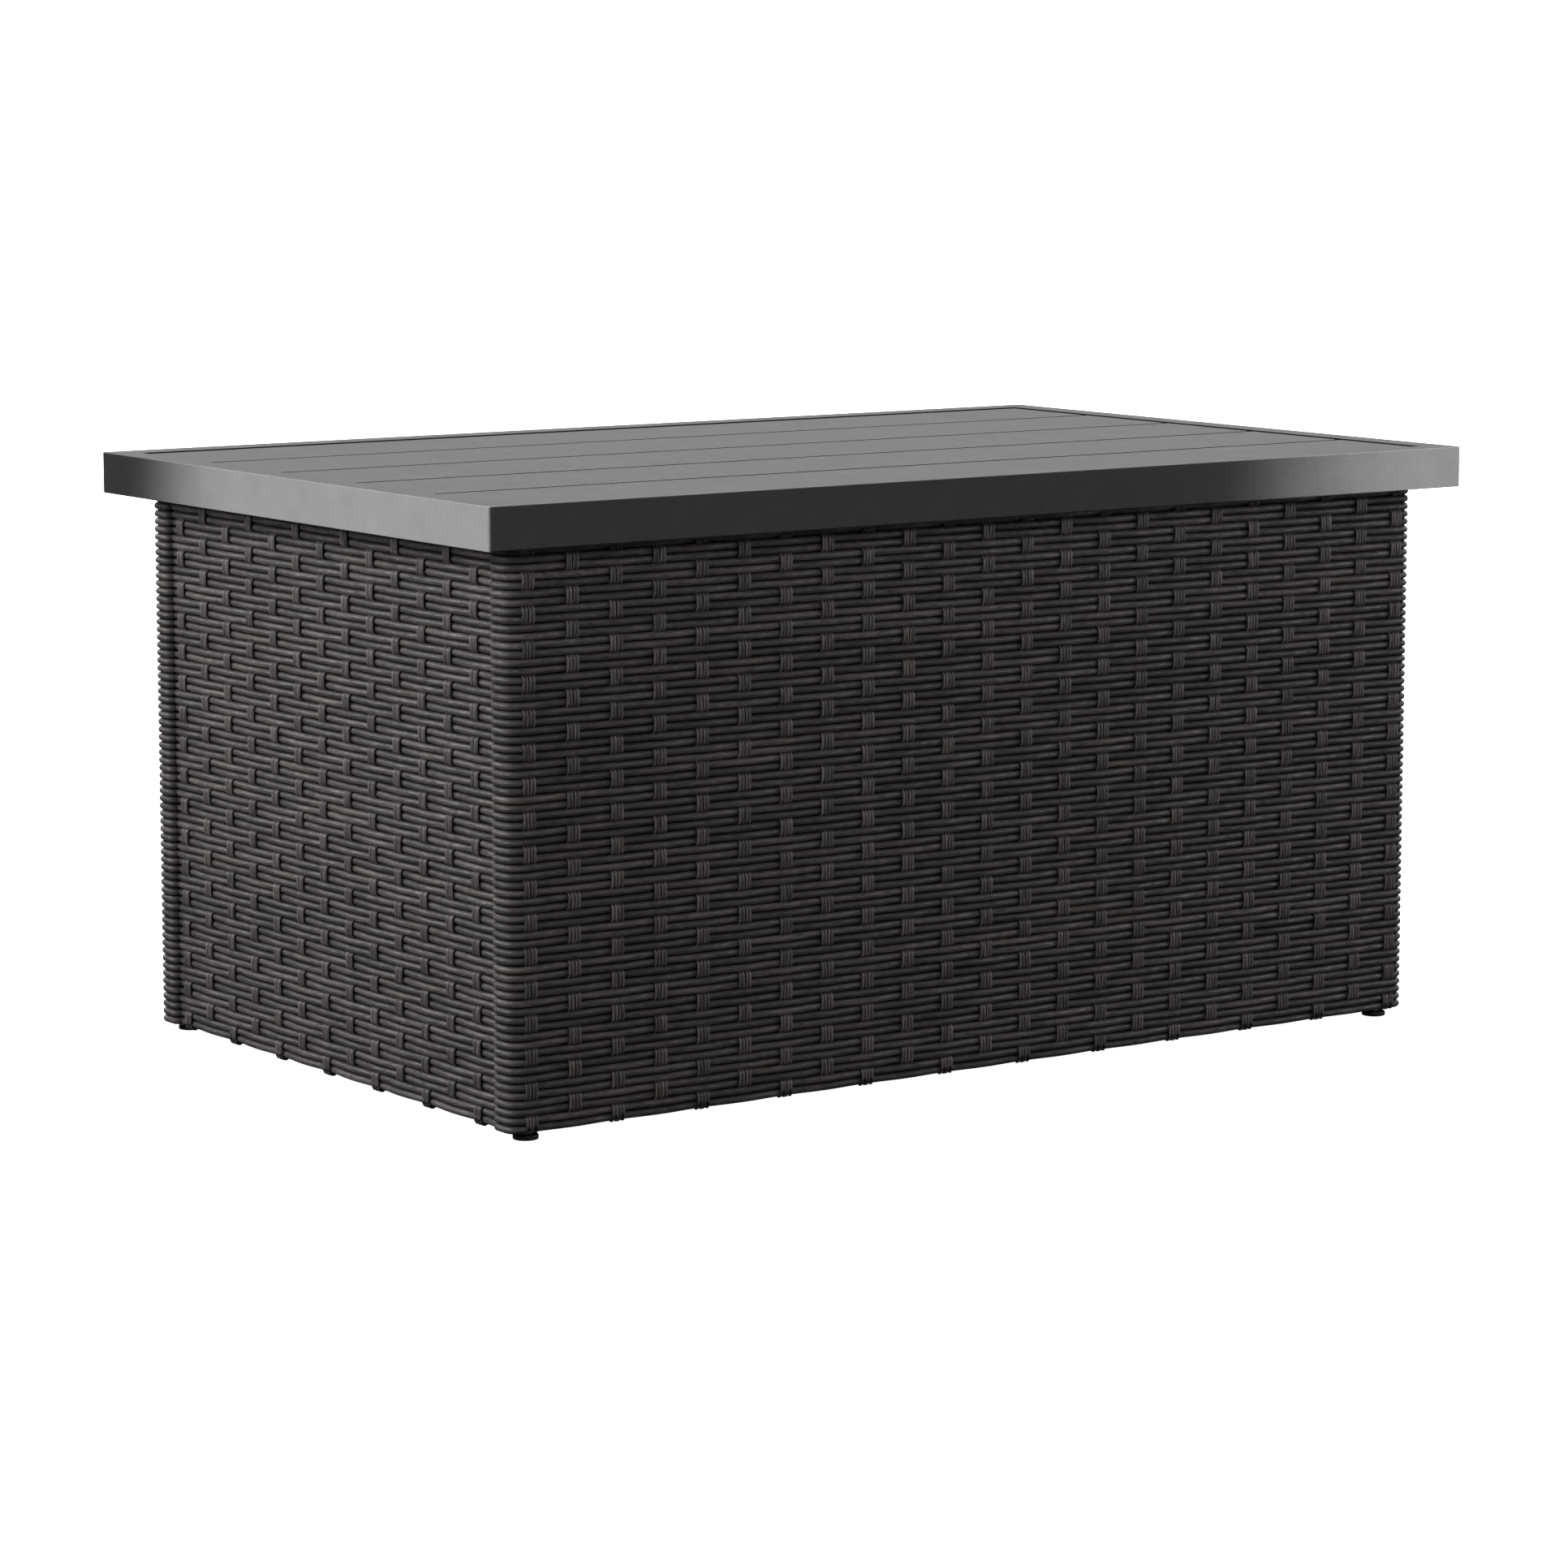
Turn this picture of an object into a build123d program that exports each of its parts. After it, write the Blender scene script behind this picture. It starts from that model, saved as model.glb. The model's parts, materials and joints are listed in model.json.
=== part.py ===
from build123d import *
import os

# Wicker coffee table: a slatted metal top on a hollow woven base that stands on four levelling glides.
# Millimetres.  Origin on the floor under the middle of the top; +X along the length, -Y to the front, +Z up.

# ---- driving dimensions: the top -------------------------------------------------------------------
TOP_LENGTH = 1067.0
TOP_WIDTH = 673.0
TOP_HEIGHT = 540.0
RIM_WIDTH = 26.0
RIM_HEIGHT = 37.5
RIM_WALL = 1.6
RIM_CORNER_RADIUS = 2.5
RIM_EDGE_RADIUS = 1.0

SLAT_COUNT = 5
SLAT_PITCH = 129.5
SLAT_GAP = 8.0
SLAT_THICKNESS = 12.0
SLAT_WALL = 1.5
SLAT_EDGE_RADIUS = 1.0
SLAT_RECESS = 1.6
SLAT_CLEARANCE = 0.8

BATTEN_WIDTH = 25.0
BATTEN_WALL = 2.0
BATTEN_SPACING = 330.0

# ---- driving dimensions: the woven skin ------------------------------------------------------------
SKIN_INSET_FRONT = 25.6
SKIN_INSET_END = 38.5
SKIN_DEPTH = 7.0
SKIN_BOTTOM = 7.5
SKIN_TOP = 502.0
WRAP_PROUD = 5.0
WRAP_RETURN = 32.0
WRAP_RADIUS = 14.0
SEAM_GAP = 0.3

# ---- driving dimensions: the base frame ------------------------------------------------------------
TUBE = 20.0
TUBE_WALL = 1.5
TUBE_CORNER_RADIUS = 1.5
POST_LENGTH_X = 25.0
POST_CORNER_RADIUS = 5.0
SKIN_CLEARANCE = 0.4
FRAME_BOTTOM = 10.0
FRAME_TOP = 500.0
STILE_SPACING = 160.0

# ---- driving dimensions: levelling glides ----------------------------------------------------------
GLIDE_RADIUS = 11.0
GLIDE_THICKNESS = 4.3
STUD_RADIUS = 4.0
STUD_TOP = 33.0
STUD_CLEARANCE = 0.05
PLUG_FLANGE = 2.0
PLUG_HEIGHT = 18.0
PLUG_CLEARANCE = 0.05

# ---- driving dimensions: fixings between top and base ----------------------------------------------
BRACKET_WIDTH = 40.0
BRACKET_REACH = 30.0
BRACKET_THICKNESS = 4.0
BRACKET_DROP = 20.0
SCREW_RADIUS = 3.0
SCREW_HOLE_RADIUS = 3.3
SCREW_LENGTH = 14.0
SCREW_HEAD_RADIUS = 5.5
SCREW_HEAD_HEIGHT = 3.3
SCREW_SOCKET_RADIUS = 2.0
WASHER_RADIUS = 7.0
WASHER_THICKNESS = 1.2
NUT_RADIUS = 4.5
NUT_FLANGE_RADIUS = 6.5
NUT_HEIGHT = 11.0
FIT = 0.05

# ---- worked-out sizes ------------------------------------------------------------------------------
HALF_LENGTH = TOP_LENGTH / 2
HALF_WIDTH = TOP_WIDTH / 2
RIM_BOTTOM = TOP_HEIGHT - RIM_HEIGHT
OPENING_X = HALF_LENGTH - RIM_WIDTH
OPENING_Y = HALF_WIDTH - RIM_WIDTH
SLAT_TOP = TOP_HEIGHT - SLAT_RECESS
SLAT_BOTTOM = SLAT_TOP - SLAT_THICKNESS
SKIN_FACE_Y = HALF_WIDTH - SKIN_INSET_FRONT
SKIN_FACE_X = HALF_LENGTH - SKIN_INSET_END
WRAP_FACE_X = SKIN_FACE_X + WRAP_PROUD
SEAM_Y = SKIN_FACE_Y - WRAP_RETURN
FRAME_Y = SKIN_FACE_Y - SKIN_DEPTH - SKIN_CLEARANCE
FRAME_X = SKIN_FACE_X - SKIN_DEPTH - SKIN_CLEARANCE
POST_X = FRAME_X - POST_LENGTH_X / 2
POST_Y = FRAME_Y - TUBE / 2
RAIL_Y = FRAME_Y - TUBE / 2
RAIL_X = FRAME_X - TUBE / 2
CORNERS = {
    "front_left": (-1, -1),
    "front_right": (1, -1),
    "back_left": (-1, 1),
    "back_right": (1, 1),
}


def box(x0, x1, y0, y1, z0, z1):
    """A block between two opposite corners."""
    size = Box(x1 - x0, y1 - y0, z1 - z0)
    return Pos((x0 + x1) / 2, (y0 + y1) / 2, (z0 + z1) / 2) * size


def upright(radius, x, y, z0, z1):
    """A round bar standing on z0."""
    return Pos(x, y, (z0 + z1) / 2) * Cylinder(radius, z1 - z0)


def hollow_section(width, height, wall, radius):
    """A rectangular tube's section with rounded corners."""
    outer = RectangleRounded(width, height, radius)
    inner = RectangleRounded(width - 2 * wall, height - 2 * wall, max(radius - wall, 0.3))
    return outer - inner


def tube_along_x(x0, x1, y, z, width, height, wall, radius):
    """A rectangular tube along X, centred on y and z."""
    section = Plane.YZ.offset(x0) * hollow_section(width, height, wall, radius)
    return Pos(0, y, z) * extrude(section, x1 - x0)


def tube_along_y(y0, y1, x, z, width, height, wall, radius):
    """A rectangular tube along Y, centred on x and z."""
    section = Plane.XZ.offset(-y0) * hollow_section(width, height, wall, radius)
    return Pos(x, 0, z) * extrude(section, -(y1 - y0))


def tube_upright(x, y, z0, z1, width, depth, wall, radius):
    """A rectangular tube along Z, centred on x and y."""
    section = Plane.XY.offset(z0) * hollow_section(width, depth, wall, radius)
    return Pos(x, y, 0) * extrude(section, z1 - z0)


# ---- the top ---------------------------------------------------------------------------------------
def rim_ring():
    """The whole hollow rim before it is cut at the mitres."""
    outline = RectangleRounded(TOP_LENGTH, TOP_WIDTH, RIM_CORNER_RADIUS)
    opening = Rectangle(2 * OPENING_X, 2 * OPENING_Y)
    ring = Pos(0, 0, RIM_BOTTOM) * extrude(outline - opening, RIM_HEIGHT)
    level_edges = ring.edges().filter_by(GeomType.LINE).filter_by(Axis.Z, reverse=True)
    corner_arcs = ring.edges().filter_by(GeomType.CIRCLE)
    ring = fillet(level_edges + corner_arcs, RIM_EDGE_RADIUS)
    wall = RIM_WALL
    void_outline = Rectangle(TOP_LENGTH - 2 * wall, TOP_WIDTH - 2 * wall)
    void_opening = Rectangle(2 * (OPENING_X + wall), 2 * (OPENING_Y + wall))
    void = Pos(0, 0, RIM_BOTTOM + wall) * extrude(void_outline - void_opening, RIM_HEIGHT - 2 * wall)
    return ring - void


def mitre_prism(side):
    """The share of the rim that belongs to one rail, bounded by 45 degree planes at its ends."""
    reach_x = HALF_LENGTH + RIM_WIDTH
    reach_y = HALF_WIDTH + RIM_WIDTH
    inner_x = reach_x - 3 * RIM_WIDTH
    inner_y = reach_y - 3 * RIM_WIDTH
    along_x = [(-reach_x, reach_y), (reach_x, reach_y), (inner_x, inner_y), (-inner_x, inner_y)]
    along_y = [(reach_x, reach_y), (reach_x, -reach_y), (inner_x, -inner_y), (inner_x, inner_y)]
    outlines = {
        "back": along_x,
        "front": [(x, -y) for x, y in along_x],
        "right": along_y,
        "left": [(-x, y) for x, y in along_y],
    }
    outline = make_face(Polyline(*outlines[side], close=True))
    return Pos(0, 0, RIM_BOTTOM + RIM_HEIGHT / 2) * extrude(outline, RIM_HEIGHT, both=True)


def slat(index):
    """A two-cell hollow plank; the first and last are narrowed to fit inside the rim."""
    centre = (index - (SLAT_COUNT - 1) / 2) * SLAT_PITCH
    low = max(centre - (SLAT_PITCH - SLAT_GAP) / 2, -OPENING_Y + SLAT_CLEARANCE)
    high = min(centre + (SLAT_PITCH - SLAT_GAP) / 2, OPENING_Y - SLAT_CLEARANCE)
    half = OPENING_X - SLAT_CLEARANCE
    plank = box(-half, half, low, high, SLAT_BOTTOM, SLAT_TOP)
    plank = fillet(plank.edges().filter_by(Axis.X), SLAT_EDGE_RADIUS)
    middle = (low + high) / 2
    floor = SLAT_BOTTOM + SLAT_WALL
    ceiling = SLAT_TOP - SLAT_WALL
    plank -= box(-half, half, low + SLAT_WALL, middle - SLAT_WALL / 2, floor, ceiling)
    plank -= box(-half, half, middle + SLAT_WALL / 2, high - SLAT_WALL, floor, ceiling)
    return plank


def batten(x):
    """A cross tube under the slats, with two holes in its lower wall for the threaded inserts."""
    height = SLAT_BOTTOM - RIM_BOTTOM
    middle = (SLAT_BOTTOM + RIM_BOTTOM) / 2
    bar = tube_along_y(-OPENING_Y, OPENING_Y, x, middle, BATTEN_WIDTH, height, BATTEN_WALL, BATTEN_WALL)
    for side in (-1, 1):
        hole_y = side * fixing_y()
        bar -= upright(NUT_RADIUS + FIT, x, hole_y, RIM_BOTTOM - 1, RIM_BOTTOM + BATTEN_WALL + 1)
    return bar


# ---- fixings between top and base ------------------------------------------------------------------
def fixing_y():
    """Distance of the fixing screws from the middle of the table."""
    return FRAME_Y - TUBE - BRACKET_REACH / 2


def fixing_places():
    """Two fixings under each batten."""
    return [(column * BATTEN_SPACING, side) for column in (-1, 0, 1) for side in (-1, 1)]


def bracket(x, side):
    """An angle welded inside an upper rail, carrying a batten on its level leg."""
    inside = FRAME_Y - TUBE
    top = RIM_BOTTOM
    half = BRACKET_WIDTH / 2
    level_leg = box(x - half, x + half, inside - BRACKET_REACH, inside, top - BRACKET_THICKNESS, top)
    upright_leg = box(x - half, x + half, inside - BRACKET_THICKNESS, inside, top - BRACKET_DROP, top)
    angle = level_leg + upright_leg
    angle -= upright(SCREW_HOLE_RADIUS, x, fixing_y(), top - BRACKET_THICKNESS - 1, top + 1)
    return angle if side > 0 else mirror(angle, about=Plane.XZ)


def fixing_screw(x, side):
    """A button-head screw with its washer, pushed up through the bracket."""
    seat = RIM_BOTTOM - BRACKET_THICKNESS
    y = side * fixing_y()
    under_washer = seat - WASHER_THICKNESS
    head_bottom = under_washer - SCREW_HEAD_HEIGHT
    screw = upright(SCREW_HEAD_RADIUS, x, y, head_bottom, under_washer)
    screw = fillet(screw.edges().sort_by(Axis.Z)[0], SCREW_HEAD_HEIGHT / 2)
    screw += upright(WASHER_RADIUS, x, y, under_washer, seat)
    screw += upright(SCREW_RADIUS, x, y, seat, seat + SCREW_LENGTH)
    socket = extrude(RegularPolygon(SCREW_SOCKET_RADIUS, 6), SCREW_HEAD_HEIGHT / 2)
    return screw - Pos(x, y, head_bottom) * socket


def threaded_insert(x, side):
    """A blind insert seated flush in the batten's lower wall and flared behind it."""
    y = side * fixing_y()
    inner_face = RIM_BOTTOM + BATTEN_WALL
    body = upright(NUT_RADIUS, x, y, RIM_BOTTOM, RIM_BOTTOM + NUT_HEIGHT)
    body += upright(NUT_FLANGE_RADIUS, x, y, inner_face, inner_face + BATTEN_WALL)
    return body - upright(SCREW_RADIUS + FIT, x, y, RIM_BOTTOM - 1, RIM_BOTTOM + NUT_HEIGHT + 1)


# ---- the base frame --------------------------------------------------------------------------------
def post(side_x, side_y):
    """A corner post: a rectangular tube open at its foot for the plug."""
    x = side_x * POST_X
    y = side_y * POST_Y
    return tube_upright(x, y, FRAME_BOTTOM, FRAME_TOP, POST_LENGTH_X, TUBE, TUBE_WALL, POST_CORNER_RADIUS)


def long_rail(side_y, z):
    """A front or back rail between two posts."""
    half = FRAME_X - POST_LENGTH_X
    return tube_along_x(-half, half, side_y * RAIL_Y, z, TUBE, TUBE, TUBE_WALL, TUBE_CORNER_RADIUS)


def short_rail(side_x, z):
    """An end rail between two posts."""
    half = FRAME_Y - TUBE
    return tube_along_y(-half, half, side_x * RAIL_X, z, TUBE, TUBE, TUBE_WALL, TUBE_CORNER_RADIUS)


def stile(x, y):
    """An upright between a lower and an upper rail."""
    return tube_upright(x, y, FRAME_BOTTOM + TUBE, FRAME_TOP - TUBE, TUBE, TUBE, TUBE_WALL, TUBE_CORNER_RADIUS)


def cross_brace(x):
    """A low tube tying the front and back lower rails together."""
    half = FRAME_Y - TUBE
    z = FRAME_BOTTOM + TUBE / 2
    return tube_along_y(-half, half, x, z, TUBE, TUBE, TUBE_WALL, TUBE_CORNER_RADIUS)


# ---- the woven skin --------------------------------------------------------------------------------
def long_panel(side_y):
    """A front or back panel that wraps round both corners and returns onto the ends."""
    outer = RectangleRounded(2 * WRAP_FACE_X, 2 * SKIN_FACE_Y, WRAP_RADIUS)
    inner_x = WRAP_FACE_X - SKIN_DEPTH
    inner_y = SKIN_FACE_Y - SKIN_DEPTH
    inner = RectangleRounded(2 * inner_x, 2 * inner_y, WRAP_RADIUS - SKIN_DEPTH)
    ring = Pos(0, 0, SKIN_BOTTOM) * extrude(outer - inner, SKIN_TOP - SKIN_BOTTOM)
    reach = WRAP_FACE_X + 1
    keep = box(-reach, reach, SEAM_Y, SKIN_FACE_Y + 1, SKIN_BOTTOM - 1, SKIN_TOP + 1)
    panel = ring & keep
    return panel if side_y > 0 else mirror(panel, about=Plane.XZ)


def end_panel(side_x):
    """An end panel between the two wraps."""
    half = SEAM_Y - SEAM_GAP
    panel = box(SKIN_FACE_X - SKIN_DEPTH, SKIN_FACE_X, -half, half, SKIN_BOTTOM, SKIN_TOP)
    return panel if side_x > 0 else mirror(panel, about=Plane.YZ)


# ---- levelling glides ------------------------------------------------------------------------------
def post_plug(side_x, side_y):
    """A plug in the foot of a post, with a flange under the tube and a threaded hole for the stud."""
    x = side_x * POST_X
    y = side_y * POST_Y
    inner_x = POST_LENGTH_X - 2 * TUBE_WALL - 2 * PLUG_CLEARANCE
    inner_y = TUBE - 2 * TUBE_WALL - 2 * PLUG_CLEARANCE
    flange_bottom = FRAME_BOTTOM - PLUG_FLANGE
    flange = RectangleRounded(POST_LENGTH_X, TUBE, POST_CORNER_RADIUS)
    body = RectangleRounded(inner_x, inner_y, POST_CORNER_RADIUS - TUBE_WALL)
    plug = Pos(x, y, flange_bottom) * extrude(flange, PLUG_FLANGE)
    plug += Pos(x, y, FRAME_BOTTOM) * extrude(body, PLUG_HEIGHT)
    bore_top = FRAME_BOTTOM + PLUG_HEIGHT + 1
    return plug - upright(STUD_RADIUS + STUD_CLEARANCE, x, y, flange_bottom - 1, bore_top)


def glide_disc(side_x, side_y):
    """The round foot that meets the floor, with a socket for the stud."""
    x = side_x * POST_X
    y = side_y * POST_Y
    disc = upright(GLIDE_RADIUS, x, y, 0, GLIDE_THICKNESS)
    disc = fillet(disc.edges().filter_by(GeomType.CIRCLE), GLIDE_THICKNESS / 4)
    return disc - upright(STUD_RADIUS, x, y, GLIDE_THICKNESS / 2, GLIDE_THICKNESS + 1)


def glide_stud(side_x, side_y):
    """The threaded stud that screws into the plug."""
    x = side_x * POST_X
    y = side_y * POST_Y
    stud = upright(STUD_RADIUS, x, y, GLIDE_THICKNESS / 2, STUD_TOP)
    return chamfer(stud.edges().sort_by(Axis.Z)[-1], STUD_RADIUS / 4)


# ---- all nodes -------------------------------------------------------------------------------------
def build_nodes():
    """Every node by name."""
    nodes = {}
    ring = rim_ring()
    for side in ("front", "back", "left", "right"):
        nodes[f"top_rail_{side}"] = ring & mitre_prism(side)
    for index in range(SLAT_COUNT):
        nodes[f"slat_{index + 1}"] = slat(index)
    for name, column in (("left", -1), ("middle", 0), ("right", 1)):
        nodes[f"top_batten_{name}"] = batten(column * BATTEN_SPACING)

    low = FRAME_BOTTOM + TUBE / 2
    high = FRAME_TOP - TUBE / 2
    for name, side_y in (("front", -1), ("back", 1)):
        nodes[f"lower_rail_{name}"] = long_rail(side_y, low)
        nodes[f"upper_rail_{name}"] = long_rail(side_y, high)
        nodes[f"woven_panel_{name}"] = long_panel(side_y)
        for stile_name, column in (("left", -1), ("right", 1)):
            nodes[f"{name}_stile_{stile_name}"] = stile(column * STILE_SPACING, side_y * RAIL_Y)
    for name, side_x in (("left", -1), ("right", 1)):
        nodes[f"lower_rail_{name}"] = short_rail(side_x, low)
        nodes[f"upper_rail_{name}"] = short_rail(side_x, high)
        nodes[f"woven_panel_{name}"] = end_panel(side_x)
        nodes[f"{name}_stile"] = stile(side_x * RAIL_X, 0)
        nodes[f"cross_brace_{name}"] = cross_brace(side_x * STILE_SPACING)

    for name, (side_x, side_y) in CORNERS.items():
        nodes[f"post_{name}"] = post(side_x, side_y)
        nodes[f"post_plug_{name}"] = post_plug(side_x, side_y)
        nodes[f"glide_disc_{name}"] = glide_disc(side_x, side_y)
        nodes[f"glide_stud_{name}"] = glide_stud(side_x, side_y)

    nodes["top_brackets"] = Compound([bracket(x, side) for x, side in fixing_places()])
    nodes["top_screws"] = Compound([fixing_screw(x, side) for x, side in fixing_places()])
    nodes["threaded_inserts"] = Compound([threaded_insert(x, side) for x, side in fixing_places()])
    return nodes


os.makedirs("parts", exist_ok=True)
for node_name, shape in build_nodes().items():
    export_step(shape, f"parts/{node_name}.step")
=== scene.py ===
import bpy
import json
import math
import numpy as np
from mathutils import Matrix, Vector

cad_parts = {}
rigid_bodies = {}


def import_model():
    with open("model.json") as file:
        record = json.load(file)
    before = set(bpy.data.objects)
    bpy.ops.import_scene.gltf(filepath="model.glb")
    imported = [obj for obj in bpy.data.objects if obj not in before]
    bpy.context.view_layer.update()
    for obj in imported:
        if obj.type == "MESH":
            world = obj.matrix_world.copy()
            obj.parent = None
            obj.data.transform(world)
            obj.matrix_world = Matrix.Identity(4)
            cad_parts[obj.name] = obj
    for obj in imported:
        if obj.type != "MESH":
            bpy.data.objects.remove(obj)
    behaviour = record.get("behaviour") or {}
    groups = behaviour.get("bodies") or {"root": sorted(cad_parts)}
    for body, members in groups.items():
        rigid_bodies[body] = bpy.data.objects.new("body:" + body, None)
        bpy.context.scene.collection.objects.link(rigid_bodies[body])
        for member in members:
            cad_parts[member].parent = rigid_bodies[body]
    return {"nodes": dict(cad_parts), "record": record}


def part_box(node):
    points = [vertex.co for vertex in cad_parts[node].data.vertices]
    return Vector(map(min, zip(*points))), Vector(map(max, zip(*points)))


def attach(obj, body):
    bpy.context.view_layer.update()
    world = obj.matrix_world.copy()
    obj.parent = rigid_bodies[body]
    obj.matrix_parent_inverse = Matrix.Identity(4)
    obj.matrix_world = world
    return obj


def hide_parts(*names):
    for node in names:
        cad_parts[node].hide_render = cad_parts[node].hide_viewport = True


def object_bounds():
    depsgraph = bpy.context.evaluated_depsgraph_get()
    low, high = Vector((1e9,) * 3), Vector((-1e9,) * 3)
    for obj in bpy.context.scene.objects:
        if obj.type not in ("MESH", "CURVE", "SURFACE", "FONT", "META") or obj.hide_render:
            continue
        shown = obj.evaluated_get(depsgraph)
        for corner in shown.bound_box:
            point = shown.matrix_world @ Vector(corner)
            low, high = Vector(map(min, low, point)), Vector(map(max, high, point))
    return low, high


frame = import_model()
cad_low, cad_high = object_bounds()
nodes = frame["nodes"]
rng = np.random.default_rng(7)

MM = 0.001

# ---- a strand: its section, and its run across a panel -----------------------------------------------
STRAND_PITCH = 7.166 * MM
STRAND_HALF_HEIGHT = 3.35 * MM
STRAND_DEPTH = 3.6 * MM
STRAND_LIP = 4.25 * MM
LOWEST_LIP = STRAND_HALF_HEIGHT - 1.0 * MM
STRAND_BACK = 1.2 * MM
STRAND_SQUARENESS = 0.95
STRAND_EDGE_ANGLE = math.radians(80)
STRAND_FRONT_POINTS = 7
# Painted shade: how steeply the painted darkening rises from a strand's front towards the gaps beside it.
PAINTED_SHADE_STEEPNESS = 2.4
OVER_DEPTH = 3.7 * MM
UNDER_DEPTH = 6.1 * MM
END_PANEL_LIFT = 0.2 * MM
END_REACH = 1.0 * MM
SEAM_TUCK = 0.4 * MM
SEAM_TUCK_LENGTH = 14.0 * MM
STEPS_PER_COLUMN = 5

# ---- a long panel's strand where it wraps round a corner ---------------------------------------------
WRAP_DEPTH = 3.8 * MM
WRAP_RADIUS = 14.0 * MM
# Painted shade on the wrapped ends: the share by which their colour is darkened, rising round the corner.
WRAP_SHADE = 0.14
CORNER_POINTS = 7
NOSE_RADIUS = 2.6 * MM
NOSE_TAIL = 4.5 * MM
NOSE_DEGREES = (25, 50, 75, 90)

# ---- a stake: its section, and its run up a panel ----------------------------------------------------
STAKE_OFFSET = 3.32 * MM
STAKE_HALF_WIDTH = 3.15 * MM
STAKE_RIDGE = 1.15 * MM
STAKE_RIDGE_PLACE = 0.74
STAKE_HOLLOW = 0.25 * MM
STAKE_HOLLOW_PLACE = 0.34
STAKE_MIDDLE_DEPTH = 0.8 * STAKE_HOLLOW
STAKE_OVER = 1.25 * MM
STAKE_BEHIND = 5.3 * MM
STAKE_TUCK = 20.0 * MM
TUCK_RISE = 1.4 * MM
STAKE_TOP_GAP = 0.6 * MM
# From the middle of a pair upwards, as (depth, height): the crest over the pair and the dive behind the next.
STAKE_OVER_PAIR = (
    (STAKE_OVER, 0.0),
    (STAKE_OVER + 0.08 * MM, 4.2 * MM),
    (STAKE_OVER + 0.35 * MM, 5.4 * MM),
    (STAKE_OVER + 1.0 * MM, 6.3 * MM),
    (STAKE_OVER + 2.2 * MM, 7.1 * MM),
    (STAKE_BEHIND - 0.7 * MM, 8.2 * MM),
)
# From under the base to the front of the lowest pair, as (depth, height, share of the loop's sag).
LOOP_UNDER_PAIR = (
    (STAKE_OVER + 9.0 * MM, 2.0 * MM, 1.0),
    (STAKE_OVER + 4.5 * MM, 0.0, 1.0),
    (STAKE_OVER + 1.9 * MM, 0.6 * MM, 1.0),
    (STAKE_OVER + 0.6 * MM, 2.2 * MM, 0.8),
    (STAKE_OVER + 0.05 * MM, 3.6 * MM, 0.0),
)
# From under the base to the back of the lowest pair, as (depth, height, share of the loop's sag).
START_BEHIND_PAIR = (
    (STAKE_BEHIND + 4.0 * MM, TUCK_RISE, 0.0),
    (STAKE_BEHIND + 1.0 * MM, 2.0 * MM, 0.0),
    (STAKE_BEHIND, 4.0 * MM, 0.0),
)

# ---- the pattern of the panels -----------------------------------------------------------------------
PAIR_PITCH = 2 * STRAND_PITCH
ROW_COUNT = 35
LONG_COLUMNS = 23
LONG_COLUMN_PITCH = 43.53 * MM
LONG_STAKE_SHARE = 1.0
LONG_LOOP_SAG = 0.0
# The stakes' tones here and for the end panels lie far above the strands' 0 to 1: painted light on the
# strips.
LONG_STAKE_TONES_WITH_PAINTED_LIGHT = (3.0, 3.8)
END_COLUMNS = 13
END_COLUMN_PITCH = 42.5 * MM
END_COLUMN_SHIFT = -7.6 * MM
END_STAKE_SHARE = 0.88
END_LOOP_SAG = 1.4 * MM
END_STAKE_TONES_WITH_PAINTED_LIGHT = (1.7, 2.4)
TONE_LIMIT = 4.0

# ---- how far strands and stakes wander, as (wavelength, amount) --------------------------------------
LONG_RISE_WANDER = (0.35, 0.05 * MM)
LONG_DEPTH_WANDER = (0.2, 0.08 * MM)
END_RISE_WANDER = (0.3, 0.05 * MM)
END_DEPTH_WANDER = (0.2, 0.1 * MM)
STAKE_SIDE_WANDER = (0.045, 0.14 * MM)
STAKE_DEPTH_WANDER = (0.06, 0.07 * MM)
WANDER_OCTAVES = 3
WANDER_OCTAVE_STEP = 1.7
WANDER_FADE = 1.5

# ---- the bake map: each strand has a band of its own -------------------------------------------------
BAKE_LAYER = "OFBake"
BAND_MARGIN = 0.06
BAND_END = 0.002
CAP_END = 0.001


# ---- mesh helpers ----------------------------------------------------------------------------------
def tube_faces(n, k):
    """The ring and the place in it of each side face of a tube of n rings of k points, and its corners."""
    ring, place = np.meshgrid(np.arange(n - 1), np.arange(k), indexing="ij")
    ring = ring.ravel()
    place = place.ravel()
    after = (place + 1) % k
    low = ring * k
    high = low + k
    return ring, place, np.stack([low + place, low + after, high + after, high + place], axis=1)


def tube_uvs(ring, place, k, along, band, bands):
    """Map coordinates of a tube's side faces: u along the tube, v around it, inside its own band."""
    u = BAND_END + (1 - 2 * BAND_END) * along / along[-1]
    v = (band + BAND_MARGIN + (1 - 2 * BAND_MARGIN) * np.arange(k + 1) / k) / bands
    corners = [u[ring], v[place], u[ring], v[place + 1], u[ring + 1], v[place + 1], u[ring + 1], v[place]]
    return np.stack(corners, axis=1).reshape(-1, 2)


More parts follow.
